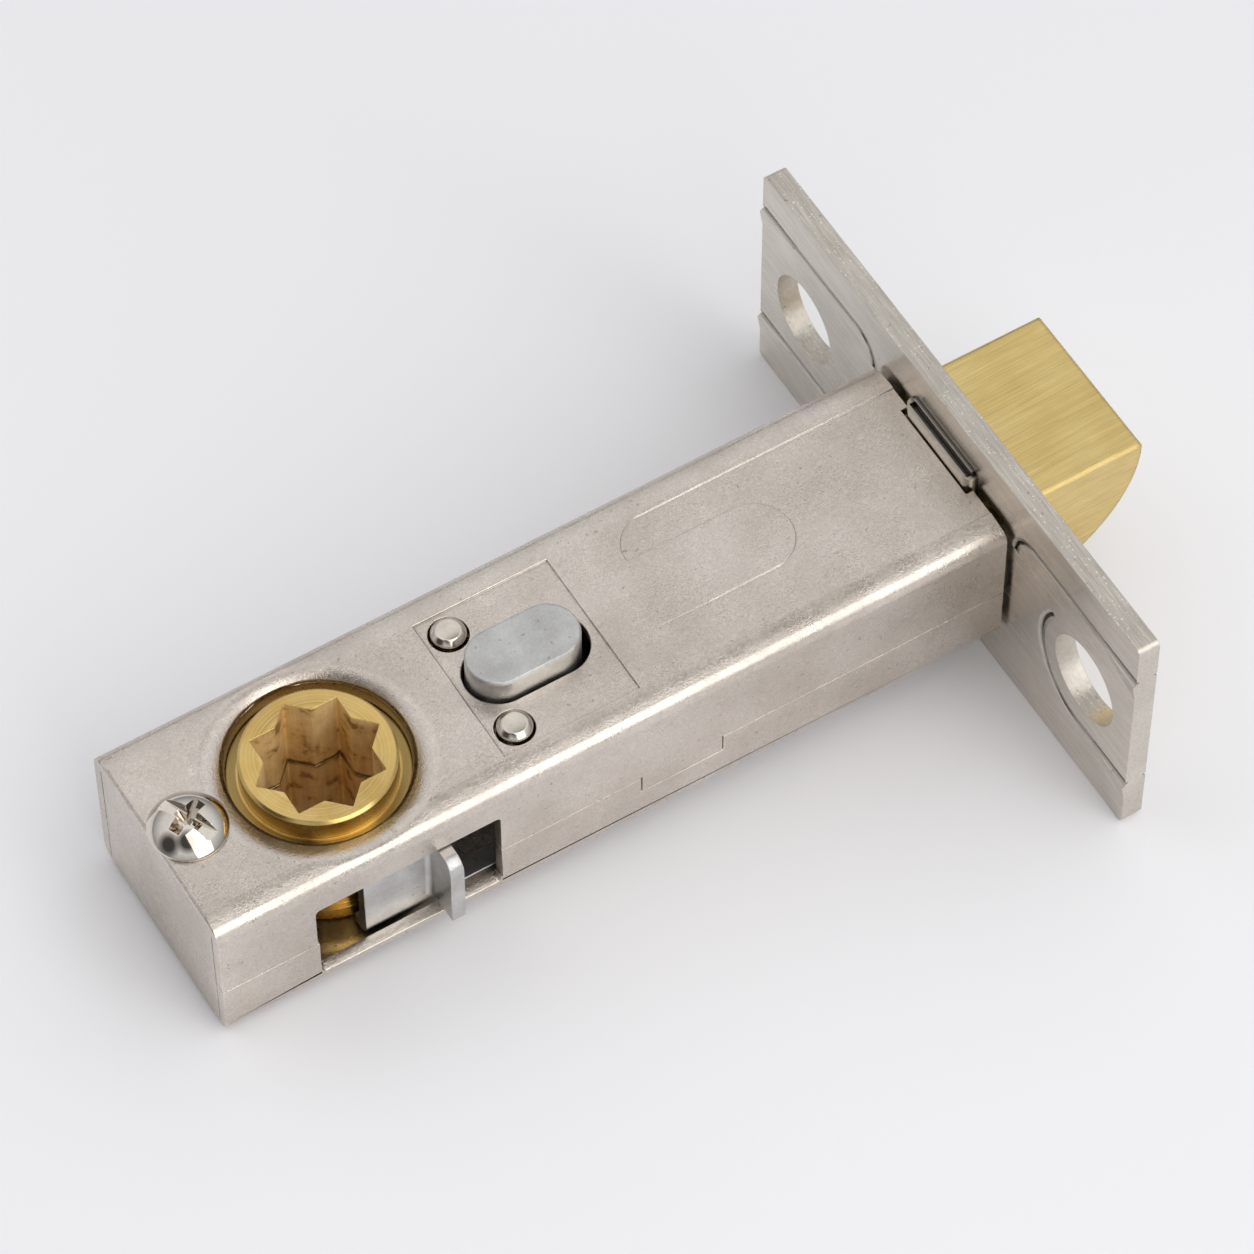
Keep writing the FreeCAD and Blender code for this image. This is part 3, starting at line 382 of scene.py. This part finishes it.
def turnedBrass():
    # brass turned on its top and collar, broached through: lathe rings, browner walls in the star
    look = {"centre": (-62, 0, 0), "cloudMm": 2.5, "dark": "#D6B36B", "light": "#E6C885",
            "ringMm": 0.3, "ringDepth": 0.02, "ringTones": (0.86, 1.06), "edgeMm": 0.12,
            "bossMm": 6.65, "journalFadeMm": 0.2, "journalShadeTone": 0.5, "roughness": (0.19, 0.3),
            "starMm": 5.9, "starFadeMm": 0.1, "streakMm": 0.5, "streakDrawn": (1, 1, 9),
            "streakTones": (0.86, 1.08), "streakDepth": 0.004, "stainMm": 1.6,
            "stains": [(0.32, "#9A7539"), (0.44, "#EFCB88"), (0.7, "#FFE4AA")],
            "stainRoughness": 0.25, "stainMetallic": 0.35, "tipMm": 5.6, "tipFadeMm": 0.08,
            "tipTones": (0.95, 1.2), "splitMm": 0.18, "splitFade": 2.4, "splitRagMm": 0.25,
            "splitTone": 0.3}
    material, tree, shader = startMaterial("turned_and_broached_brass", 1.0, 0.24)
    shader.inputs["Anisotropic"].default_value = 0.7
    shader.inputs["Anisotropic Rotation"].default_value = 0.25
    centred = placed(tree, look["centre"])
    outwards = addNode(tree, "ShaderNodeVectorMath", {0: centred, 1: (1, 1, 0)},
                       operation="MULTIPLY")
    radius = addNode(tree, "ShaderNodeVectorMath", {0: outwards},
                     operation="LENGTH").outputs["Value"]
    around = addNode(tree, "ShaderNodeVectorMath", {0: (0, 0, 1), 1: outwards},
                     operation="CROSS_PRODUCT")
    rings = addNode(tree, "ShaderNodeTexNoise",
                    {"W": radius, "Scale": perMetre(look["ringMm"]), "Detail": 3},
                    noise_dimensions="1D")
    layers = {}
    for layer, place, detail in (("cloud", centred, 3), ("stain", centred, 4),
                                 ("streak", placed(tree, look["centre"], look["streakDrawn"]), 3)):
        layers[layer] = addNode(tree, "ShaderNodeTexNoise",
                                {"Vector": place, "Scale": perMetre(look[layer + "Mm"]),
                                 "Detail": detail, "Roughness": 0.55})
    bright = addNode(tree, "ShaderNodeValToRGB", {"Fac": layers["cloud"]},
                     [(0.3, look["dark"]), (0.7, look["light"])])
    bright = toned(tree, bright, rings, 0.3, 0.7, *look["ringTones"])
    # painted shade round the boss, on the journal that lies below the case's opening
    boss = look["bossMm"] * mm
    bright = toned(tree, bright, radius, boss, boss + look["journalFadeMm"] * mm,
                   1.0, look["journalShadeTone"])
    brown = addNode(tree, "ShaderNodeValToRGB", {"Fac": layers["stain"]}, look["stains"])
    brown = toned(tree, brown, layers["streak"], 0.3, 0.7, *look["streakTones"])
    tip = look["tipMm"] * mm
    brown = toned(tree, brown, radius, tip, tip + look["tipFadeMm"] * mm, *look["tipTones"])
    # burred, dirty line where the two halves meet
    height = addNode(tree, "ShaderNodeSeparateXYZ", {"Vector": centred}).outputs["Z"]
    rag = look["splitRagMm"] * mm
    ragged = addNode(tree, "ShaderNodeMapRange",
                     {"Value": layers["stain"], "From Min": 0.3, "From Max": 0.7,
                      "To Min": -rag, "To Max": rag})
    offLine = addNode(tree, "ShaderNodeMath", {0: height, 1: ragged})
    offLine = addNode(tree, "ShaderNodeMath", {0: offLine}, operation="ABSOLUTE")
    split = look["splitMm"] * mm
    brown = toned(tree, brown, offLine, split, look["splitFade"] * split, look["splitTone"], 1.0)
    # the star's walls are upright and nearer the axis than its tips
    facing = addNode(tree, "ShaderNodeSeparateXYZ",
                     {"Vector": addNode(tree, "ShaderNodeNewGeometry").outputs["Normal"]})
    upwards = addNode(tree, "ShaderNodeMath", {0: facing.outputs["Z"]}, operation="ABSOLUTE")
    star = look["starMm"] * mm
    inStar = 1.0
    for measured, start, stop in ((upwards, 0.2, 0.5),
                                  (radius, star, star + look["starFadeMm"] * mm)):
        within = addNode(tree, "ShaderNodeMapRange",
                         {"Value": measured, "From Min": start, "From Max": stop,
                          "To Min": 1.0, "To Max": 0.0})
        inStar = addNode(tree, "ShaderNodeMath", {0: inStar, 1: within}, operation="MULTIPLY")
    mixed = addNode(tree, "ShaderNodeMix", {"Factor": inStar, 6: bright, 7: brown},
                    data_type="RGBA")
    low, high = look["roughness"]
    smooth = addNode(tree, "ShaderNodeMapRange",
                     {"Value": layers["cloud"], "From Min": 0.3, "From Max": 0.7,
                      "To Min": low, "To Max": high})
    stained = addNode(tree, "ShaderNodeMath", {0: inStar, 1: look["stainRoughness"], 2: smooth},
                      operation="MULTIPLY_ADD")
    metallic = addNode(tree, "ShaderNodeMapRange",
                       {"Value": inStar, "From Min": 0.0, "From Max": 1.0, "To Min": 1.0,
                        "To Max": look["stainMetallic"]})
    normal = addNode(tree, "ShaderNodeBevel", {"Radius": look["edgeMm"] * mm}, samples=6)
    for pattern, depthMm in ((rings, look["ringDepth"]), (layers["streak"], look["streakDepth"])):
        normal = addNode(tree, "ShaderNodeBump",
                         {"Height": pattern, "Distance": depthMm * mm, "Normal": normal})
    finishMaterial(tree, shader, Base_Color=mixed.outputs[2], Roughness=stained,
                   Metallic=metallic, Normal=normal, Tangent=around)
    return material


def brushedBrass():
    # brass bar brushed along its length: long fine scratches over a smooth ground
    look = {"dark": "#DBC07C", "light": "#E6CE8E", "groundMm": 5, "fineMm": 0.12,
            "fineTones": (0.87, 1.1), "fineDepth": 0.006, "broadMm": 0.4,
            "broadTones": (0.94, 1.04), "drawn": (42, 1, 1), "slant": (0, 0, 1.5),
            "edgeMm": 0.8, "roughness": (0.25, 0.36)}
    material, tree, shader = startMaterial("brushed_brass", 1.0, 0.3)
    along = placed(tree, scale=look["drawn"], turn=look["slant"])
    layers = {}
    for layer, place, detail in (("fine", along, 2), ("broad", along, 2),
                                 ("ground", placed(tree), 3)):
        layers[layer] = addNode(tree, "ShaderNodeTexNoise",
                                {"Vector": place, "Scale": perMetre(look[layer + "Mm"]),
                                 "Detail": detail, "Roughness": 0.55})
    colour = addNode(tree, "ShaderNodeValToRGB", {"Fac": layers["ground"]},
                     [(0.3, look["dark"]), (0.7, look["light"])])
    for layer in ("fine", "broad"):
        colour = toned(tree, colour, layers[layer], 0.3, 0.7, *look[layer + "Tones"])
    low, high = look["roughness"]
    roughness = addNode(tree, "ShaderNodeMapRange",
                        {"Value": layers["fine"], "From Min": 0.3, "From Max": 0.7,
                         "To Min": low, "To Max": high})
    edge = addNode(tree, "ShaderNodeBevel", {"Radius": look["edgeMm"] * mm}, samples=6)
    normal = addNode(tree, "ShaderNodeBump",
                     {"Height": layers["fine"], "Distance": look["fineDepth"] * mm,
                      "Normal": edge})
    finishMaterial(tree, shader, Base_Color=colour, Roughness=roughness, Normal=normal)
    return material


def naturalNylon():
    # moulded natural nylon: off-white, slightly waxy, with the mould's fine texture
    look = {"dark": "#CFCBBF", "light": "#DDDACF", "cloudMm": 3, "textureMm": 0.4,
            "textureDepth": 0.004, "ior": 1.53}
    material, tree, shader = startMaterial("moulded_natural_nylon", 0.0, 0.45)
    shader.inputs["IOR"].default_value = look["ior"]
    layers = {}
    for layer, detail in (("cloud", 3), ("texture", 2)):
        layers[layer] = addNode(tree, "ShaderNodeTexNoise",
                                {"Vector": placed(tree), "Scale": perMetre(look[layer + "Mm"]),
                                 "Detail": detail, "Roughness": 0.55})
    colour = addNode(tree, "ShaderNodeValToRGB", {"Fac": layers["cloud"]},
                     [(0.3, look["dark"]), (0.7, look["light"])])
    normal = addNode(tree, "ShaderNodeBump", {"Height": layers["texture"],
                                              "Distance": look["textureDepth"] * mm})
    finishMaterial(tree, shader, Base_Color=colour, Normal=normal)
    return material


hubBrass = turnedBrass()
boltBrass = brushedBrass()
nylon = naturalNylon()
print("materials made")

# Solids made again with their sharp edges broken, each edge by its own width
edgeRules = {"mergeMm": 0.001, "flatDegrees": 0.4, "sharpDegrees": 28, "segments": 3}
shellEdges = {"wallY": 9.0, "seam": (-1.4, -0.8), "step": (-3.4, -2.8), "seamMm": 0.03,
              "crownZ": 6.9, "crownY": 7.6, "levelZ": 0.3, "rimMm": 0.14,
              "holes": ((-62, 0, 9), (-46.75, 5.3, 2.2), (-46.75, -5.3, 2.2)),
              "slot": (-50, -35, 3.4)}


def shellEdge(middle, along):
    # fine at the seam and its steps, rolled over where the punch came through the crown
    onSeam = any(low < middle.z < high for low, high in (shellEdges["seam"], shellEdges["step"]))
    if abs(middle.y) > shellEdges["wallY"] and onSeam:
        return shellEdges["seamMm"]
    onCrown = abs(middle.z) > shellEdges["crownZ"] and abs(middle.y) < shellEdges["crownY"]
    if onCrown and abs(along.z) < shellEdges["levelZ"]:
        rear, front, slotHalf = shellEdges["slot"]
        inSlot = rear < middle.x < front and abs(middle.y) < slotHalf
        byHole = any((middle - Vector((x, y, middle.z))).length < reach
                     for x, y, reach in shellEdges["holes"])
        if byHole or inSlot:
            return shellEdges["rimMm"]
    return None


def brokenEdges(nodeName, pieceName, edgeMm, edgeAt=None):
    raw = bmesh.new()
    raw.from_mesh(cadNodes[nodeName].data)
    bmesh.ops.remove_doubles(raw, verts=raw.verts, dist=edgeRules["mergeMm"] * mm)
    bmesh.ops.dissolve_limit(raw, angle_limit=math.radians(edgeRules["flatDegrees"]),
                             verts=raw.verts, edges=raw.edges)
    weights = raw.edges.layers.float.new("bevel_weight_edge")
    wanted = {}
    for edge in raw.edges:
        isFold = len(edge.link_faces) == 2
        if isFold and edge.calc_face_angle(0) > math.radians(edgeRules["sharpDegrees"]):
            middle = (edge.verts[0].co + edge.verts[1].co) / (2 * mm)
            along = (edge.verts[1].co - edge.verts[0].co).normalized()
            special = edgeAt(middle, along) if edgeAt else None
            wanted[edge] = edgeMm if special is None else special
    widest = max([edgeMm, *wanted.values()])
    for edge, width in wanted.items():
        edge[weights] = width / widest
    data = bpy.data.meshes.new(pieceName)
    raw.to_mesh(data)
    raw.free()
    data.shade_smooth()
    return plainMesh(softened(linkObject(pieceName, data), widest, edgeRules["segments"],
                              limit_method="WEIGHT", use_clamp_overlap=False))


dressed = [
    ("upper_shell", "crownShell", 0.07, shellEdge, nickelPressedSteel, "case", "nickel_case"),
    ("lower_shell", "floorShell", 0.07, shellEdge, nickelPressedSteel, "case", "nickel_case"),
    ("bolt_head", "latchBolt", 0.12, None, boltBrass, "bolt", "bolt_brass"),
    ("retractor", "retractorPlate", 0.1, None, zincPlatedSteel, "retractor", "zinc_steel"),
    ("privacy_plunger", "privacyButton", 0.11, None, zincPlatedButton, "privacy_plunger",
     "zinc_steel")]
for nodeName, pieceName, edgeMm, edgeAt, material, body, slotName in dressed:
    fit(brokenEdges(nodeName, pieceName, edgeMm, edgeAt), material, body, slotName, nodeName)

carried = {"base_plate": nickelStampedPlate, "hub_upper": hubBrass, "hub_lower": hubBrass,
           "bolt_shank": drawnSteel, "shank_pin": drawnSteel, "drive_pin": drawnSteel,
           "bolt_guide_left": nylon, "bolt_guide_right": nylon,
           "spring_seat": zincPlatedSteel, "spring_washer": drawnSteel,
           "detent_spring": springWire, "closing_pillar": nickelPin}
for nodeName, material in carried.items():
    cadNodes[nodeName].data.materials.clear()
    cadNodes[nodeName].data.materials.append(material)
print("solids dressed")


# Pieces that wind along a line, by Geometry Nodes
def windingTree(name, sizes, material, sides, stepsPerTurn, turnedOver=False):
    # a round section wound up along Z, or along X when turned over; a named input for each size
    tree = bpy.data.node_groups.new(name, "GeometryNodeTree")
    for label in sizes:
        tree.interface.new_socket(name=label, in_out="INPUT", socket_type="NodeSocketFloat")
    tree.interface.new_socket(name="Geometry", in_out="OUTPUT", socket_type="NodeSocketGeometry")
    given = addNode(tree, "NodeGroupInput").outputs
    spiral = addNode(tree, "GeometryNodeCurveSpiral",
                     {"Resolution": stepsPerTurn, "Rotations": given["Turns"],
                      "Start Radius": given["Mean Radius"], "End Radius": given["Mean Radius"],
                      "Height": given["Length"]})
    section = addNode(tree, "GeometryNodeCurvePrimitiveCircle",
                      {"Resolution": sides, "Radius": given["Section Radius"]})
    wound = addNode(tree, "GeometryNodeCurveToMesh",
                    {"Curve": spiral, "Profile Curve": section, "Fill Caps": True})
    place = addNode(tree, "ShaderNodeCombineXYZ", {"X": given["Start X"], "Z": given["Start Z"]})
    laid = addNode(tree, "GeometryNodeTransform",
                   {"Geometry": wound, "Translation": place,
                    "Rotation": (0, math.radians(90) if turnedOver else 0, 0)})
    if turnedOver:
        laid = addNode(tree, "GeometryNodeSetShadeSmooth", {"Geometry": laid})
    plain = addNode(tree, "GeometryNodeRealizeInstances", {"Geometry": laid})
    finished = addNode(tree, "GeometryNodeSetMaterial", {"Geometry": plain, "Material": material})
    addNode(tree, "NodeGroupOutput", {"Geometry": finished})
    return tree


def wound(pieceName, sizes, material, sides, stepsPerTurn, turnedOver=False):
    # the tree's result as a plain mesh, its sizes set by the sockets' identifiers
    tree = windingTree(pieceName + "Tree", sizes, material, sides, stepsPerTurn, turnedOver)
    piece = linkObject(pieceName, bpy.data.meshes.new(pieceName))
    modifier = piece.modifiers.new(tree.name, "NODES")
    modifier.node_group = tree
    for item in tree.interface.items_tree:
        if item.in_out == "INPUT" and item.name in sizes:
            modifier[item.identifier] = float(sizes[item.name])
    plainMesh(piece)
    mesh = bmesh.new()
    mesh.from_mesh(piece.data)
    bmesh.ops.remove_doubles(mesh, verts=mesh.verts, dist=0.0005 * mm)
    bmesh.ops.recalc_face_normals(mesh, faces=mesh.faces)
    mesh.to_mesh(piece.data)
    mesh.free()
    return piece


coilSizes = {"Turns": 6.5, "Mean Radius": 3.95 * mm, "Section Radius": 0.4 * mm,
             "Length": 16.7 * mm, "Start X": -21.12 * mm, "Start Z": 0.0}
boltCoil = wound("boltCoil", coilSizes, springWire, 12, 36, turnedOver=True)
fit(boltCoil, springWire, "case", "spring_steel", "bolt_spring")
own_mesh(boltCoil)
print("bolt spring wound")

# Closing screw: domed head, slot and cross recess in one, thread down to its tip
screwSizes = {"x": -74.0, "seat": 7.44, "headRadius": 3.34, "rise": 2.0, "rim": 0.22,
              "rimBreak": 0.1, "domeSteps": 24, "coreRadius": 1.16, "tip": -0.56,
              "tipShare": 0.7, "tipTaper": 0.4, "turn": -66, "cutterLift": 1.0,
              "slotHalf": 0.55, "slotDepth": 1.0, "slotFlare": 0.12, "slotReach": 6.0,
              "bladeHalf": 0.6, "bladeLow": 0.24, "bladeReach": 2.2, "bladeLowReach": 0.55,
              "bladeDepth": 1.75, "softMm": 0.05, "softDegrees": 24, "softSegments": 2}


def lathed(name, profile, x, y, steps=96):
    # profile of (radius, height) turned about a Z line; both ends close on the axis
    mesh = bmesh.new()
    rings = []
    for radius, height in profile:
        angles = [2 * math.pi * i / steps for i in range(steps if radius > 0 else 1)]
        rings.append([mesh.verts.new(((x + radius * math.cos(angle)) * mm,
                                      (y + radius * math.sin(angle)) * mm, height * mm))
                      for angle in angles])
    for lower, upper in zip(rings, rings[1:]):
        for i in range(steps):
            j = (i + 1) % steps
            corners = [lower[i % len(lower)], lower[j % len(lower)],
                       upper[j % len(upper)], upper[i % len(upper)]]
            mesh.faces.new(list(dict.fromkeys(corners)))
    bmesh.ops.recalc_face_normals(mesh, faces=mesh.faces)
    data = bpy.data.meshes.new(name)
    mesh.to_mesh(data)
    mesh.free()
    data.shade_smooth()
    return linkObject(name, data)


def blade(name, low, top, turn):
    # a wedge-shaped cutter about the screw's axis; low and top are (reach, half width, height)
    mesh = bmesh.new()
    corners = [mesh.verts.new((sx * reach * mm, sy * half * mm, z * mm))
               for reach, half, z in (low, top)
               for sx, sy in ((-1, -1), (1, -1), (1, 1), (-1, 1))]
    for face in ((3, 2, 1, 0), (4, 5, 6, 7), (0, 1, 5, 4), (1, 2, 6, 5), (2, 3, 7, 6),
                 (3, 0, 4, 7)):
        mesh.faces.new([corners[i] for i in face])
    bmesh.ops.recalc_face_normals(mesh, faces=mesh.faces)
    data = bpy.data.meshes.new(name)
    mesh.to_mesh(data)
    mesh.free()
    data.transform(Matrix.Translation((screwSizes["x"] * mm, 0, 0))
                   @ Matrix.Rotation(math.radians(turn), 4, "Z"))
    return linkObject(name, data)


def domedScrew(size):
    seat, core, headRadius = size["seat"], size["coreRadius"], size["headRadius"]
    top = seat + size["rise"]
    capRise = size["rise"] - size["rim"]
    ball = (headRadius ** 2 + capRise ** 2) / (2 * capRise)
    spread = math.asin(headRadius / ball)
    profile = [(0, size["tip"]), (core * size["tipShare"], size["tip"]),
               (core, size["tip"] + size["tipTaper"]), (core, seat),
               (headRadius - size["rimBreak"], seat), (headRadius, seat + size["rimBreak"])]
    for i in range(size["domeSteps"]):
        angle = spread * (1 - i / size["domeSteps"])
        profile.append((ball * math.sin(angle), top - ball + ball * math.cos(angle)))
    profile.append((0, top))
    head = lathed("closingScrew", profile, size["x"], 0)
    lift = top + size["cutterLift"]
    floor = top - size["slotDepth"]
    flare = size["slotFlare"] / size["slotDepth"] * (lift - floor)
    reach, half = size["slotReach"], size["slotHalf"]
    cutters = [blade("slotCutter", (reach, half, floor), (reach, half + flare, lift),
                     size["turn"])]
    deep = top - size["bladeDepth"]
    grow = (lift - deep) / size["bladeDepth"]
    reach, half = size["bladeLowReach"], size["bladeLow"]
    topReach = reach + (size["bladeReach"] - reach) * grow
    topHalf = half + (size["bladeHalf"] - half) * grow
    for quarter in (0, 90):
        cutters.append(blade("crossCutter", (reach, half, deep), (topReach, topHalf, lift),
                             size["turn"] + quarter))
    for cutter in cutters:
        cut = head.modifiers.new(cutter.name, "BOOLEAN")
        cut.operation = "DIFFERENCE"
        cut.solver = "EXACT"
        cut.object = cutter
    plainMesh(softened(head, size["softMm"], size["softSegments"], limit_method="ANGLE",
                       angle_limit=math.radians(size["softDegrees"])))
    for cutter in cutters:
        bpy.data.objects.remove(cutter)
    return head


# The thread is a ridge sunk in the core, coarse enough to show where the screw is drawn alone
threadSizes = {"Turns": 10.0, "Mean Radius": 1.219 * mm, "Section Radius": 0.119 * mm,
               "Length": 7.0 * mm, "Start X": -74.0 * mm, "Start Z": -0.1 * mm}
fit(domedScrew(screwSizes), brightNickelScrew, "case", "nickel_screw", "closing_screw")
fit(wound("screwThread", threadSizes, nickelPin, 6, 32), nickelPin, "case", "nickel_screw")
print("closing screw made")

# Guide pins: turned, chamfered at the top, stepped down where they are riveted in
pinSizes = {"radius": 1.52, "chamfer": 0.46, "tailRadius": 1.1, "tail": 1.1, "softMm": 0.14,
            "softDegrees": 30, "softSegments": 4}


def guidePin(name, node, size):
    low, high = [Vector(corner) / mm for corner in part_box(node)]
    middle = (low + high) / 2
    shoulder = low.z + size["tail"]
    profile = [(0, low.z), (size["tailRadius"], low.z), (size["tailRadius"], shoulder),
               (size["radius"], shoulder), (size["radius"], high.z - size["chamfer"]),
               (size["radius"] - size["chamfer"], high.z), (0, high.z)]
    return plainMesh(softened(lathed(name, profile, middle.x, middle.y), size["softMm"],
                              size["softSegments"], limit_method="ANGLE",
                              angle_limit=math.radians(size["softDegrees"])))


for side in ("left", "right"):
    fit(guidePin("guidePin" + side.capitalize(), "guide_post_" + side, pinSizes), nickelPin,
        "case", "nickel_pin", "guide_post_" + side)
print("guide pins made")

# Floor, at the slope on which the latch rests: plate's lower rear edge and hub's lower end
rest = {"plateX": -2.0, "plateZ": -12.7, "hubX": -68.3, "hubZ": -8.3, "gapMm": 0.02, "sideM": 4.0}


def floorPaper():
    # matt white card: the camera and the metal see the same pale cool white
    look = {"dark": "#F6F6F9", "light": "#F9F9FC", "cloudMm": 160, "specular": 0.1}
    material, tree, shader = startMaterial("white_card", 0.0, 0.9)
    shader.inputs["Specular IOR Level"].default_value = look["specular"]
    cloud = addNode(tree, "ShaderNodeTexNoise",
                    {"Vector": placed(tree), "Scale": perMetre(look["cloudMm"]), "Detail": 2,
                     "Roughness": 0.55})
    colour = addNode(tree, "ShaderNodeValToRGB", {"Fac": cloud},
                     [(0.35, look["dark"]), (0.65, look["light"])])
    finishMaterial(tree, shader, Base_Color=colour)
    return material


slope = (rest["hubZ"] - rest["plateZ"]) / (rest["hubX"] - rest["plateX"])
half = rest["sideM"] / 2
floorData = bpy.data.meshes.new("floorCard")
floorData.from_pydata([(-half, -half, 0), (half, -half, 0), (half, half, 0), (-half, half, 0)],
                      [], [(0, 1, 2, 3)])
floorData.transform(Matrix.Rotation(-math.atan(slope), 4, "Y"))
floorData.transform(Matrix.Translation((rest["plateX"] * mm, 0,
                                        (rest["plateZ"] - rest["gapMm"]) * mm)))
floorData.materials.append(floorPaper())
linkObject("floorCard", floorData)

# Light tent: pale overhead, dim where its opening and its door are, one tall soft box
tent = {"heights": [(0.0, "#959596"), (0.2, "#BDBEC0"), (0.45, "#E4E5E7"), (0.7, "#F3F4F5"),
                    (1.0, "#FFFFFF")],
        "dimSides": [((-0.29, -0.48, 0.83), 0.86, 0.97, "#4A4846"),
                     ((-0.86, -0.05, 0.50), 0.86, 0.97, "#4A4846"),
                     ((0.29, 0.20, 0.94), 0.967, 0.992, "#9A9692")],
        "seen": "#EFF0F3", "strength": 1.0}


def lightTent():
    world = bpy.data.worlds.new("lightTent")
    bpy.context.scene.world = world
    world.use_nodes = True
    tree = world.node_tree
    direction = addNode(tree, "ShaderNodeTexCoord").outputs["Generated"]
    height = addNode(tree, "ShaderNodeSeparateXYZ", {"Vector": direction}).outputs["Z"]
    shade = addNode(tree, "ShaderNodeValToRGB", {"Fac": height}, tent["heights"]).outputs[0]
    for side, dimFrom, dimTo, dimColour in tent["dimSides"]:
        towards = addNode(tree, "ShaderNodeVectorMath", {0: direction, 1: side},
                          operation="DOT_PRODUCT").outputs["Value"]
        dim = addNode(tree, "ShaderNodeMapRange",
                      {"Value": towards, "From Min": dimFrom, "From Max": dimTo, "To Min": 0.0,
                       "To Max": 1.0})
        shade = addNode(tree, "ShaderNodeMix", {"Factor": dim, 6: shade, 7: hexColour(dimColour)},
                        data_type="RGBA").outputs[2]
    seen = addNode(tree, "ShaderNodeLightPath").outputs["Is Camera Ray"]
    mixed = addNode(tree, "ShaderNodeMix", {"Factor": seen, 6: shade, 7: hexColour(tent["seen"])},
                    data_type="RGBA")
    background = tree.nodes["Background"]
    tree.links.new(mixed.outputs[2], background.inputs["Color"])
    background.inputs["Strength"].default_value = tent["strength"]


softBox = {"direction": (0.10, -0.70, 0.69), "target": (-0.035, 0, 0), "distance": 0.8,
           "wide": 0.66, "tall": 1.1, "radiance": 1.45, "colour": "#FFFDFA"}


def addSoftBox(name, box):
    lamp = bpy.data.lights.new(name, "AREA")
    lamp.shape = "RECTANGLE"
    lamp.size = box["wide"]
    lamp.size_y = box["tall"]
    lamp.energy = box["radiance"] * math.pi * box["wide"] * box["tall"]
    lamp.color = hexColour(box["colour"])[:3]
    made = linkObject(name, lamp)
    towards = Vector(box["direction"]).normalized()
    made.location = Vector(box["target"]) + towards * box["distance"]
    made.rotation_euler = towards.to_track_quat("Z", "Y").to_euler()


lightTent()
addSoftBox("keyBox", softBox)
print("floor and light made")

# Camera, at the photograph's angle; its place is in millimetres
cameraPlace = {"lensMm": 185.96, "sensorMm": 36.0, "location": (-186.15, -254.84, 446.12),
               "azimuth": -31.017, "elevation": 56.058, "roll": -0.325, "clipM": (0.01, 20.0)}
lens = bpy.data.cameras.new("camera")
lens.lens = cameraPlace["lensMm"]
lens.sensor_width = cameraPlace["sensorMm"]
lens.clip_start, lens.clip_end = cameraPlace["clipM"]
camera = linkObject("camera", lens)
azimuth, elevation, roll = [math.radians(cameraPlace[k]) for k in ("azimuth", "elevation", "roll")]
back = Vector((math.sin(azimuth) * math.cos(elevation), -math.cos(azimuth) * math.cos(elevation),
               math.sin(elevation)))
levelRight = Vector((math.cos(azimuth), math.sin(azimuth), 0))
levelUp = back.cross(levelRight)
right = levelRight * math.cos(roll) + levelUp * math.sin(roll)
up = back.cross(right)
camera.matrix_world = Matrix.Translation(Vector(cameraPlace["location"]) * mm) @ Matrix(
    (right, up, back)).transposed().to_4x4()
bpy.context.scene.camera = camera
bpy.context.scene.view_settings.view_transform = "Standard"
